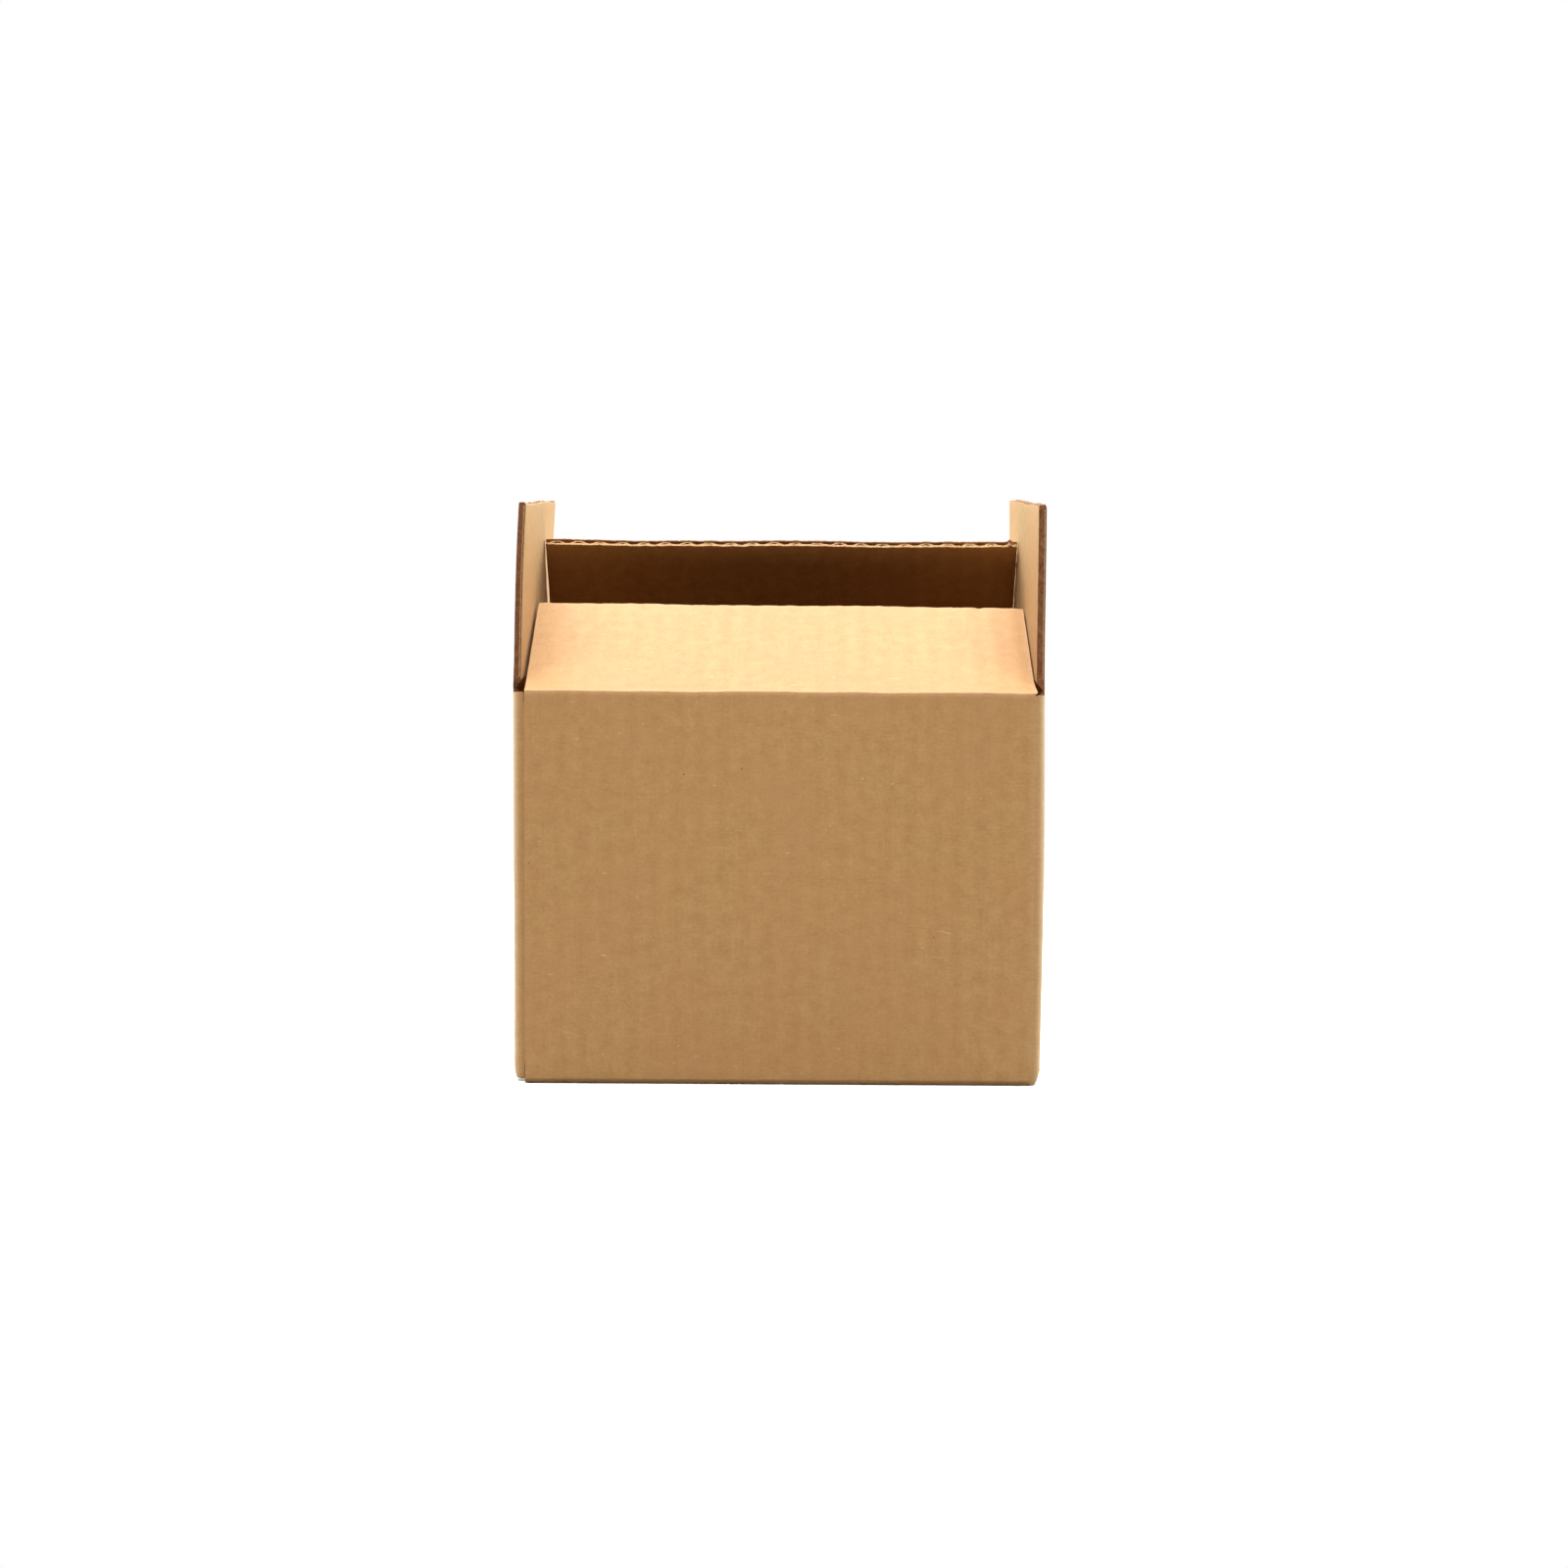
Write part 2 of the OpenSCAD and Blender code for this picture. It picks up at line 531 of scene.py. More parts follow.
@dataclass(frozen=True)
class FlutingMedium(BareFibre):
    """Semi-chemical fluting paper, pressed into waves by hot rolls.

    It is thinner, greyer and rougher than the liner, with short coarse fibres.
    """

    name: str = "fluting_medium_pressed"
    pale: str = "#b48a5c"
    dark: str = "#8f6740"
    tuft: float = 1.3
    knots: float = 0.65
    share: Pair = (0.3, 0.7)
    relief: Pair = (0.5, 0.1)
    dull: float = 0.88
    gloss: float = 0.3
    on_sheet: bool = True


@dataclass(frozen=True)
class Blank:
    """Sizes of the slotted sheet that the carton is folded from, as in the CAD."""

    width: float = 184.0
    depth: float = 133.0
    fold_height: float = 137.5
    board: float = 3.0
    liner: float = 0.4
    medium: float = 0.32
    pitch: float = 8.1
    bend: float = 3.8
    flap: float = 65.5
    crease: float = 4.5
    slot: float = 1.0
    seam: float = 4.2
    tab: float = 32.0
    tab_slant: float = 9.0
    foot: float = 7.2
    heel: float = 2.2
    side_end: float = 4.1
    flap_left: float = 4.443
    flap_right: float = 4.1

    def reach(self, side: Side) -> float:
        """Distance of a wall's outer face from the carton's middle."""
        return (self.depth if side in (Side.FRONT, Side.BACK) else self.width) / 2.0

    def span(self, side: Side) -> Pair:
        """Start and end of a wall's flat part, between its corner folds or the seam.

        Args:
            side: The wall.

        Returns:
            Distances along the wall from its middle.
        """
        half = (self.width if side in (Side.FRONT, Side.BACK) else self.depth) / 2.0
        ends = {
            Side.FRONT: (self.seam - half, half - self.bend),
            Side.LEFT: (self.bend - half, half - self.board - self.bend),
        }
        return ends.get(side, (self.bend - half, half - self.bend))

    def place(self, side: Side, u: Array, inward: Array, up: Array) -> Array:
        """Points from along, inward of and up a wall: the front wall's place, turned about Z.

        Args:
            side: The wall.
            u: Distance along the wall from its middle, to the right seen from outside.
            inward: Distance inwards from its outer face.
            up: Height above the ground.

        Returns:
            The points, with a last axis of x, y and z.
        """
        turn = math.radians(side.value)
        u, y, up = np.broadcast_arrays(u, np.asarray(inward) - self.reach(side), up)
        x_out = u * math.cos(turn) - y * math.sin(turn)
        y_out = u * math.sin(turn) + y * math.cos(turn)
        return np.stack([x_out, y_out, up], -1)

    def sheet_start(self, side: Side) -> float:
        """Place on the flat sheet, counted from the tab's free edge, of a wall's middle.

        It is the tab and the walls before this one, each with a quarter circle before it.

        Args:
            side: The wall.

        Returns:
            The distance along the sheet.
        """
        arc = self.bend * math.pi / 2.0
        place = self.tab
        for wall in (Side.LEFT, Side.BACK, Side.RIGHT, Side.FRONT):
            start, end = self.span(wall)
            place += arc
            if wall is side:
                return place + end
            place += end - start
        raise ValueError(side)

    def flat(self, side: Side, u: Array, v: Array) -> Array:
        """Place on the flat sheet of points along and up a wall.

        Args:
            side: The wall.
            u: Distance along it.
            v: Height on the flat sheet.

        Returns:
            The places, with a last axis of 2.
        """
        u, v = np.broadcast_arrays(self.sheet_start(side) - np.asarray(u), v)
        return np.stack([u, v], -1)


@dataclass
class OpenBoard:
    """A stretch of board that shows its section: two facings and the wavy sheet between them.

    Tears are a length and a depth, and edge_wear a strength and a reach. Setback, burr and
    nick_depth have a number each for the outer facing, the inner one and the wavy sheet.
    """

    blank: Blank
    side: Side
    place: Place
    start: float
    end: float
    root: float
    tip: float
    seed: int
    phase: float = 0.0
    pinch: float = 0.22
    pinch_reach: float = 4.0
    tip_pinch: float = 0.1
    setback: Triple = (-0.45, -0.1, 0.1)
    plug: bool = False
    inner_end: Paper = Paper.CUT
    flat_start: float = 0.0
    flat_sign: float = 1.0
    columns_per_wave: int = 14
    near_rows: int = 12
    tip_rows: int = 9
    burr: Triple = (0.2, 1.3, 1.1)
    fine_tear: Pair = (0.9, 0.12)
    coarse_tear: Pair = (3.1, 0.11)
    slow_tear: Pair = (90.0, 0.16)
    nick_step: float = 2.3
    nick_depth: Triple = (0.08, 0.22, 0.08)
    nick_reach: float = 0.7
    nick_fade: float = 3.0
    tip_reach: float = 2.5
    fine_tip: float = 3.0
    torn_fade: float = 2.6
    cut_fade: float = 14.0
    sag: float = 0.05
    sag_fade: float = 4.0
    burr_reach: float = 0.6
    edge_wear: Pair = (0.8, 0.9)
    glue: float = 0.03
    plug_grid: tuple[int, int] = (70, 7)
    plug_tear: Pair = (1.7, 0.32)
    plug_inset: Triple = (0.42, 0.6, 0.3)
    plug_thick: float = 0.3
    warp: Callable[[Array, Array], Array] = field(default=lambda u, v: 0.0 * u)
    tear: Callable[[Array], Array] = field(default=lambda u: 0.0 * u)

    def crush(self, u: Array, v: Array) -> Array:
        """How far each face is pressed in by the knives: a bell at either end and the tip.

        Args:
            u: Distance along the fold.
            v: Distance away from the fold.

        Returns:
            The depth at each point.
        """
        end = np.maximum(np.minimum(u - self.start, self.end - u), 0.0)
        ends = self.pinch * bell(end, self.pinch_reach)
        return np.maximum(ends, self.tip_pinch * bell(self.tip - v, self.tip_reach))

    def grid(self, layer: int, setback: float) -> tuple[Array, Array]:
        """Grid along and away from the fold, closer towards the tip, with torn edges.

        The last rows follow a torn line, and the first and last columns a finer one, each
        faded out a short way in.

        Args:
            layer: Number of the sheet of paper, for its own tear.
            setback: How far this paper ends short of the cut.

        Returns:
            The distances along and away from the fold.
        """
        waves = (self.end - self.start) / self.blank.pitch
        along = np.linspace(self.start, self.end, int(waves * self.columns_per_wave) + 1)
        length = self.tip - self.root
        near = np.linspace(0.0, max(length - self.fine_tip, 0.4 * length), self.near_rows)
        tips = np.linspace(near[-1], length, self.tip_rows)[1:]
        away = self.root + np.concatenate([near, tips])
        u, v = np.meshgrid(along, away, indexing="ij")
        torn = (
            ragged(along, *self.fine_tear, self.seed + layer)
            + ragged(along, *self.coarse_tear, self.seed + 17 + layer)
            + rolling(along, *self.slow_tear, self.seed + 31)
            - setback
        )
        cut = self.tear(along)[:, None] * ramp(v, self.tip - self.cut_fade, self.tip)
        v = v + cut + torn[:, None] * ramp(v, self.tip - self.torn_fade, self.tip) ** 2
        nick = ragged(away, self.nick_step, self.nick_depth[layer], self.seed + 53 + layer)
        held = ramp(v, self.root, self.root + self.nick_fade)
        first, last = (u - self.start) / self.nick_reach, (self.end - u) / self.nick_reach
        return u + np.abs(nick) * (np.exp(-first) - np.exp(-last)) * held, v

    def on_sheet(self, u: Array, v: Array) -> Array:
        """Place on the flat sheet of points along and away from the fold."""
        return self.blank.flat(self.side, u, self.flat_start + self.flat_sign * v)

    def add(self, sheet: Sheet) -> None:
        """Adds the three papers to a piece.

        A facing is the flat grid moved by the warp and the crush, and sags a little between
        the crests. The wavy sheet is board_middle + height * cos(2 pi u / pitch), with its
        thickness laid off along the wave's own normal. Each paper is thicker at its torn tip by
        a burr, a bell away from the tip.

        Args:
            sheet: The piece.
        """
        b = self.blank
        wave_turn = 2.0 * np.pi / b.pitch
        for layer in (0, 1):
            u, v = self.grid(layer, self.setback[layer])
            off_crest = 1.0 + (1 - 2 * layer) * np.cos(wave_turn * u + self.phase)
            sag = self.sag * off_crest * ramp(v, self.root, self.root + self.sag_fade)
            depth = self.crush(u, v) + sag
            near = (b.board - depth if layer else depth) + self.warp(u, v)
            short = v.max(1, keepdims=True) - v
            thick = b.liner * (1.0 + self.burr[layer] * bell(short, self.burr_reach))
            far = near + (-thick if layer else thick)
            edge = np.minimum(np.minimum(u - self.start, self.end - u), short)
            wear_highlight_share = self.edge_wear[0] * np.exp(-np.maximum(edge, 0.0) / self.edge_wear[1])
            # Tips and ends are closed in the crushed-end paper, whose dark brown is painted shade
            sheet.slab(
                self.place(u, near, v), self.place(u, far, v), self.on_sheet(u, v), wear_highlight_share,
                rims=ALL_ROUND, ends=Paper.SHADED_END, sides=self.inner_end if layer else Paper.SHADED_END,
            )
        u, v = self.grid(2, self.setback[2])
        angle = wave_turn * u + self.phase
        height = b.board / 2.0 - b.liner - b.medium / 2.0 + self.glue - self.crush(u, v)
        slope = -height * wave_turn * np.sin(angle)
        middle = b.board / 2.0 + height * np.cos(angle) + self.warp(u, v)
        tilt = np.sqrt(1.0 + slope**2)
        short = v.max(1, keepdims=True) - v
        thick = b.medium * (1.0 + self.burr[2] * bell(short, self.burr_reach))
        side, rise = -slope / tilt * thick / 2.0, thick / 2.0 / tilt
        sheet.slab(
            self.place(u - side, middle - rise, v), self.place(u + side, middle + rise, v),
            self.on_sheet(u, v), 0.0, Paper.MEDIUM, ALL_ROUND,
        )
        if self.plug:
            self.plugs(sheet)

    def plugs(self, sheet: Sheet) -> None:
        """Adds the crushed wavy paper that fills the ends between the facings.

        A strip across the board's thickness at each end, set in from the cut by a ragged
        depth that is least next to the facings.

        Args:
            sheet: The piece.
        """
        b = self.blank
        rows, cols = self.plug_grid
        away = np.linspace(self.root, self.tip - 1.0, rows)
        v, part = np.meshgrid(away, np.linspace(0.0, 1.0, cols), indexing="ij")
        inset, rough, hollow = self.plug_inset
        for number, (end, sign) in enumerate(((self.start, 1.0), (self.end, -1.0))):
            seed = self.seed + 71 + 8 * number
            depth = np.stack([ragged(away, *self.plug_tear, seed + k) for k in range(cols)], -1)
            u = end + sign * (inset + rough * depth - hollow * (2.0 * part - 1.0) ** 2)
            near = self.crush(0.0 * v + end, v) + b.liner * 0.8
            n = near + part * (b.board - 2.0 * near) + self.warp(u, v)
            sheet.slab(
                self.place(u, n, v), self.place(u + self.plug_thick * sign, n, v),
                self.on_sheet(u, v), 0.0, Paper.SHADED_END, ALL_ROUND,
            )


@dataclass
class Sleeve:
    """The carton's body: four walls, their corner folds, the glued tab and the closed base.

    Uneven and belly vary a wall's bow along and up it, by a share and a rate. The corner bell
    has its distance from the front right corner and its width.
    """

    blank: Blank
    step: float = 2.7
    arc_steps: int = 9
    levels: int = 32
    bulge: float = 0.45
    corner_swell: float = 0.6
    corner_foot: tuple[Pair, Pair] = ((1.2, 1.0), (0.4, 2.6))
    open_end: float = 16.0
    bend_rows: int = 9
    base_rows: int = 13
    uneven: Pair = (0.25, 5.1)
    belly: Pair = (0.2, 4.0)
    corner_bell: Pair = (3.0, 9.0)
    # Corner folds, posts and bottom folds are painted paler: wear, and a painted highlight of their
    # round
    corner_wear_and_highlight: float = 0.45
    fold_wear_and_highlight: float = 0.4

    def path(self) -> tuple[Array, Array, Array, dict[Side, slice], list[slice]]:
        """Plan of the outer face, from the tab's free edge round to the front panel's cut edge.

        Straight runs and quarter circles are joined end to end; the outward normal is carried
        along.

        Returns:
            Points, outward normals, places on the flat sheet, the columns of each wall and the
            columns of each corner fold.
        """
        b = self.blank
        walls: dict[Side, slice] = {}
        corners: list[slice] = []
        runs: list[Array] = []
        norms: list[Array] = []
        count = 0

        def run(side: Side, start: float, end: float, inward: float) -> slice:
            """Adds a straight run on a side's face.

            Args:
                side: The wall.
                start: Where it starts along the wall.
                end: Where it ends.
                inward: Depth in from the wall's face.

            Returns:
                The run's columns.
            """
            nonlocal count
            steps = int(abs(end - start) / self.step) + 1
            u = np.linspace(start, end, steps + 1)
            points = b.place(side, u, inward, 0.0)[:, :2]
            normal = b.place(side, 0.0, -1.0, 0.0)[:2] - b.place(side, 0.0, 0.0, 0.0)[:2]
            runs.append(points)
            norms.append(np.broadcast_to(normal, points.shape))
            count += len(points)
            return slice(count - len(points), count)

        def arc(side: Side, end: float, inward: float) -> slice:
            """Adds the quarter circle that leads on from a side's run.

            Args:
                side: The wall that it leaves.
                end: Where that run ends.
                inward: Depth in from the wall's face.

            Returns:
                The fold's columns, with the last of the run and the first of the next.
            """
            nonlocal count
            turn = np.linspace(0.0, np.pi / 2.0, self.arc_steps + 1)[1:-1]
            middle = b.place(side, end, inward + b.bend, 0.0)[:2]
            out = b.place(side, end, inward, 0.0)[:2] - middle
            on = b.place(side, end - b.bend, inward, 0.0)[:2] - b.place(side, end, inward, 0.0)[:2]
            points = np.cos(turn)[:, None] * out + np.sin(turn)[:, None] * on
            runs.append(middle + points)
            norms.append(points / b.bend)
            count += len(points)
            return slice(count - len(points) - 1, count + 1)

        front_start = b.bend - b.width / 2.0
        run(Side.FRONT, front_start + b.tab, front_start, b.board)
        corners.append(arc(Side.FRONT, front_start, b.board))
        for side in (Side.LEFT, Side.BACK, Side.RIGHT, Side.FRONT):
            start, end = b.span(side)
            walls[side] = run(side, end, start, 0.0)
            if side is not Side.FRONT:
                corners.append(arc(side, start, 0.0))
        points, normals = np.concatenate(runs), np.concatenate(norms)
        gaps = np.linalg.norm(np.diff(points, axis=0), axis=1)
        return points, normals, np.concatenate([[0.0], np.cumsum(gaps)]), walls, corners

    def swell(self, place: Array, up: Array, walls: dict[Side, slice]) -> Array:
        """How far each wall bows out: a half sine along it times a half sine up it.

        The front right corner stands out by a bell of its own.

        Args:
            place: Places of the columns on the flat sheet.
            up: Share of the height from 0 to 1, columns by levels.
            walls: Columns of each wall.

        Returns:
            The bow at each point of the grid, columns by levels.
        """
        bow = np.zeros(len(place))
        for side, part in walls.items():
            along = place[part]
            share = (along - along[0]) / (along[-1] - along[0])
            wave = 1.0 + self.uneven[0] * np.sin(self.uneven[1] * share + side.value)
            bow[part] = np.sin(np.pi * share) * wave
        bow = self.bulge * bow[:, None] * (1.0 + self.belly[0] * np.cos(self.belly[1] * up))
        beside, width = self.corner_bell
        corner = bell(place - place[walls[Side.FRONT]][0] + beside, width)
        return (bow + self.corner_swell * corner[:, None]) * np.sin(np.pi * up)

    def walls(self, sheet: Sheet) -> dict[Side, Array]:
        """Adds the walls, the tab, and the corner folds above and below them.

        The plan is carried up: a point is plan + bow * normal on the outside and one board
        further in on the inside. The tab's ends slant back over its width.

        Args:
            sheet: The piece.

        Returns:
            Distances along each wall of its columns.
        """
        b = self.blank
        plan, normal, place, walls, corners = self.path()
        top = b.fold_height - b.crease
        slant = b.tab_slant * np.clip(1.0 - place / b.tab, 0.0, 1.0)[:, None]
        share = np.linspace(0.0, 1.0, self.levels + 1)[None, :]
        up = b.foot + slant + share * (top - b.foot - 2.0 * slant)
        bow = self.swell(place, np.broadcast_to(share, up.shape), walls)
        outer, inner = self.carried(plan, normal, up, bow)
        flat = np.stack([np.broadcast_to(place[:, None], up.shape), up], -1)
        # Corner folds painted paler: wear and painted highlight of their round
        wear_highlight_share = np.zeros(len(place))
        for part in corners:
            wear_highlight_share[part] = self.corner_wear_and_highlight
        tops = tuple(("c1", part) for part in walls.values())
        tab = slice(0, corners[0].start + 1)
        rims = whole("r0", "r1") + tops + (("c0", tab), ("c1", tab))
        sheet.slab(outer, inner, flat, wear_highlight_share[:, None], rims=rims)
        for number, part in enumerate(corners):
            spot = plan[part], normal[part], place[part]
            near_side = np.linspace(0.0, 1.0, part.stop - part.start)
            near_side = near_side if number % 2 == 0 else near_side[::-1]
            self.post(sheet, *spot, top, b.fold_height - b.slot, 0.0 * near_side)
            low, tuck = self.corner_foot[0 if number == 0 else 1]
            self.post(sheet, *spot, b.foot, low, tuck * (0.15 + 0.85 * near_side))
        return {side: b.sheet_start(side) - place[part] for side, part in walls.items()}

    def post(self, sheet: Sheet, plan: Array, normal: Array, place: Array, root: float,
             tip: float, tuck: Array) -> None:
        """Adds the bare end of a corner fold, above the walls or below them.

        It runs from root to tip on a quarter of an ellipse: height root + (tip - root) * sin a,
        and the outer face drawn in by tuck * (1 - cos a).

        Args:
            sheet: The piece.
            plan: Points of the fold's plan.
            normal: Outward normals there.
            place: Places on the flat sheet.
            root: Height where it leaves the walls.
            tip: Height of its cut end.
            tuck: How far each column is drawn in at the tip.
        """
        angle = np.linspace(0.0, np.pi / 2.0, self.bend_rows)[None, :]
        rise = np.broadcast_to(root + (tip - root) * np.sin(angle), (len(plan), self.bend_rows))
        outer, _ = self.carried(plan, normal, rise, -tuck[:, None] * (1.0 - np.cos(angle)))
        _, inner = self.carried(plan, normal, rise, 0.0 * rise)
        flat = np.stack([np.broadcast_to(place[:, None], rise.shape), rise], -1)
        # The post is painted paler: wear and painted highlight
        sheet.slab(
            outer, inner, flat, self.fold_wear_and_highlight, rims=whole("r0", "r1", "c1"),
            ends=Paper.SHADED_END, sides=Paper.SHADED_END,
        )

    def carried(self, plan: Array, normal: Array, up: Array, bow: Array) -> tuple[Array, Array]:
        """Outer and inner faces of a plan carried up.

        Args:
            plan: Points of the plan.
            normal: Outward normals there.
            up: Heights, columns by levels.
            bow: How far the board stands out there.

        Returns:
            The two grids of points.
        """
        out = plan[:, None, :] + bow[..., None] * normal[:, None, :]
        back = out - self.blank.board * normal[:, None, :]
        return np.concatenate([out, up[..., None]], -1), np.concatenate([back, up[..., None]], -1)

    def base(self, sheet: Sheet, side: Side, along: Array, level: float, seed: int) -> None:
        """Adds one wall's foot, its bottom fold and its base flap.

        The profile runs down the wall, round a quarter circle and in along the ground. It is
        carried along the wall. The last stretch of the flap is open board.

        Args:
            sheet: The piece.
            side: The wall.
            along: Distances along the wall of its columns.
            level: Height of the flap's underside.
            seed: Start of the random draws of its edge.
        """
        b = self.blank
        turn = np.linspace(0.0, np.pi / 2.0, self.bend_rows)
        solid_end = b.flap - self.open_end
        run = np.linspace(b.heel, solid_end, self.base_rows)[1:]
        inward = np.concatenate([[0.0], b.heel * (1.0 - np.cos(turn)), run])
        round_heel = level + b.heel * (1.0 - np.sin(turn))
        height = np.concatenate([[b.foot], round_heel, level + 0.0 * run])
        n_in = np.concatenate([[1.0], np.cos(turn), 0.0 * run])
        n_up = np.concatenate([[0.0], np.sin(turn), 0.0 * run + 1.0])
        steps = np.hypot(np.diff(inward), np.diff(height))
        down = b.foot - np.concatenate([[0.0], np.cumsum(steps)])
        u = along[:, None]
        outer = b.place(side, u, inward[None, :], height[None, :])
        inner = b.place(
            side, u, (inward + b.board * n_in)[None, :], (height + b.board * n_up)[None, :],
        )
        flat = b.flat(side, u, down[None, :])
        # Bottom fold painted paler: wear and painted highlight
        wear_highlight_share = self.fold_wear_and_highlight * np.sin(np.pi * ramp(inward, -0.5, 5.0))
        sheet.slab(outer, inner, flat, wear_highlight_share, rims=whole("r0", "r1", "c1"))

        def lie(u: Array, n: Array, v: Array) -> Array:
            """Points of the base flap from along, above its underside and away from the wall."""
            return b.place(side, u, v, level + n)

        OpenBoard(
            b, side, lie, float(along.min()), float(along.max()), solid_end, b.flap, seed,
            pinch=0.3, setback=(0.0, 0.0, 0.1), flat_start=down[-1] + solid_end, flat_sign=-1.0,
            columns_per_wave=7, near_rows=5, tip_rows=6,
        ).add(sheet)

    def build(self, papers: list[bpy.types.Material]) -> None:
        """Builds the carton's body, which rides on the carton.

        Args:
            papers: The piece's materials.
        """
        sheet = Sheet("carton_sleeve")
        columns = self.walls(sheet)
        for number, side in enumerate((Side.FRONT, Side.BACK, Side.LEFT, Side.RIGHT)):
            level = 0.0 if side in (Side.FRONT, Side.BACK) else self.blank.board
            self.base(sheet, side, columns[side], level, 400 + 60 * number)
        piece = sheet.build(papers)
        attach(piece, "carton")
        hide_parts("carton_body")


@dataclass
class TopFlap:
    """One top flap of open board, and the creased strip that joins it to its wall."""

    blank: Blank
    side: Side
    name: str
    lean: float
    start: float
    end: float
    seed: int
    phase: float
    bow: float = 0.3
    twist: float = 0.2
    curl: float = 0.0
    pinch: float = 0.22
    inner_end: Paper = Paper.CUT
    trim: Pair = (0.0, 0.0)
    corner: float = 0.0
    flare: float = 0.0
    widen: float = 0.0
    kink: Triple | None = None
    spike: Pair | None = None
    fold_reach: float = 0.4
    groove: float = 0.6
    score: float = 0.12
    turn_reach: float = 0.75
    pinch_reach: float = 4.0
    slow_bend: Pair = (120.0, 0.1)
    kink_width: float = 1.3
    corner_width: float = 2.3
    spike_width: float = 0.45
    flare_width: Pair = (0.5, 4.6)
    widen_fade: Pair = (5.0, 14.0)
    end_reach: float = 5.0
    crease_grid: tuple[int, int] = (110, 45)
    slow_fold: Pair = (70.0, 0.09)
    fine_fold: Pair = (2.4, 0.07)
    score_width: float = 0.9
    # The crease is painted paler along the fold: wear and painted highlight
    fold_wear_and_highlight: float = 0.9
    wear_width: float = 1.2

    def place(self, u: Array, n: Array, v: Array) -> Array:
        """Points from along the fold, in from the outer face and away from the fold.

        The flap stands on its wall and is turned inwards about the fold line by its lean.

        Args:
            u: Distance along the fold.
            n: Depth in from the outer face.
            v: Distance away from the fold line.

        Returns:
            The points.
        """
        c, s = math.cos(math.radians(self.lean)), math.sin(math.radians(self.lean))
        inward = np.asarray(n) * c + np.asarray(v) * s
        up = self.blank.fold_height - np.asarray(n) * s + np.asarray(v) * c
        return self.blank.place(self.side, u + self.spread(u, v), inward, up)

    def warp(self, u: Array, v: Array) -> Array:
        """How far the board bends out of its plane, nothing at the crease.

        A bow along the flap and a twist grow with the distance from the fold, a curl with its
        cube. A kink is a shallow bell across a line that runs up the flap.

        Args:
            u: Distance along the fold.
            v: Distance away from it.

        Returns:
            The depth at each point.
        """
        share = ramp(v, self.blank.crease, self.blank.flap)
        along = (u - self.start) / (self.end - self.start)
        rise = np.clip((v - self.blank.crease) / (self.blank.flap - self.blank.crease), 0.0, 1.0)
        bend = self.bow * np.sin(np.pi * along) + self.twist * (2.0 * along - 1.0)
        bend = bend + rolling(u, *self.slow_bend, self.seed + 5)
        if self.kink:
            foot, head, depth = self.kink
            line = foot + (head - foot) * v / self.blank.flap
            bend = bend + depth * bell(u - line, self.kink_width)
        return bend * share + self.curl * rise**3

    def tear(self, u: Array) -> Array:
        """Height of the free edge over a straight cut.

        The cut slopes from one end to the other, the first corner is rounded off on a bell,
        and a torn tuft is a narrow bell.

        Args:
            u: Distance along the fold.

        Returns:
            The height at each place.
        """
        along = (u - self.start) / (self.end - self.start)
        height = self.trim[0] + (self.trim[1] - self.trim[0]) * along
        height = height - self.corner * bell(u - self.start, self.corner_width)
        if self.spike:
            height = height + self.spike[1] * bell(u - self.spike[0], self.spike_width)
        return height

    def spread(self, u: Array, v: Array) -> Array:
        """How far the ends run out sideways.

        At the last end, where the slot stops short, it is a bell away from the fold, wide on
        the flap and narrow on the wall, times a step along the last few millimetres. The first
        end runs out evenly less towards the tip.

        Args:
            u: Distance along the fold.
            v: Distance away from it, below 0 on the wall.

        Returns:
            The shift along the fold.
        """
        u, v = np.asarray(u), np.asarray(v)
        near_fold = bell(v, np.where(v < 0.0, *self.flare_width))
        out = self.flare * near_fold * ramp(u, self.end - self.end_reach, self.end)
        slant = ramp(v, *self.widen_fade) * (1.0 - v / self.blank.flap)
        return out - self.widen * slant * ramp(-u, -self.start - self.end_reach, -self.start)

    def build(self, papers: list[bpy.types.Material]) -> None:
        """Builds the flap's open board, which rides on the flap's body.

        Args:
            papers: The piece's materials.
        """
        b = self.blank
        sheet = Sheet(f"{self.name}_board")
        OpenBoard(
            b, self.side, self.place, self.start, self.end, b.crease, b.flap, self.seed,
            phase=self.phase, pinch=self.pinch, plug=True, inner_end=self.inner_end,
            flat_start=b.fold_height, warp=self.warp, tear=self.tear,
        ).add(sheet)
        piece = sheet.build(papers)
        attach(piece, self.name)
        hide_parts(self.name)

    def crease(self, papers: list[bpy.types.Material]) -> None:
        """Builds the strip of crushed board over the fold.

        Its section follows the wall up to the fold and the flap on from it. The outer face
        rounds the fold on a parabola. The inner face narrows to a groove of crushed board.
        The section is carried along the fold, from the wall's ends to the flap's.

        Args:
            papers: The piece's materials.
        """
        b = self.blank
        columns, rows = self.crease_grid
        share = np.linspace(-1.0, 1.0, rows)
        away = b.crease * np.sign(share) * (0.45 * np.abs(share) + 0.55 * np.abs(share) ** 3)
        depth = self.groove + (b.board - self.groove) * ramp(np.abs(away), 0.0, b.crease - 0.6)
        start, end = b.span(self.side)
        passed = ramp(away, -b.crease, b.crease)[None, :]
        low = start + (self.start - start) * passed
        high = end + (self.end - end) * passed
        u = low + (high - low) * np.linspace(0.0, 1.0, columns)[:, None]
        edge = np.minimum(u - low, high - u)
        crush = self.pinch * bell(edge, self.pinch_reach) * passed * (depth / b.board)
        wander = rolling(u, *self.slow_fold, self.seed + 9)
        wander = wander + ragged(u, *self.fine_fold, self.seed + 3)
        wander = wander * (1.0 - (away / b.crease) ** 2)[None, :]
        inside = np.abs(away) < self.fold_reach
        first, last = int(np.argmax(inside)) - 1, len(away) - int(np.argmax(inside[::-1]))
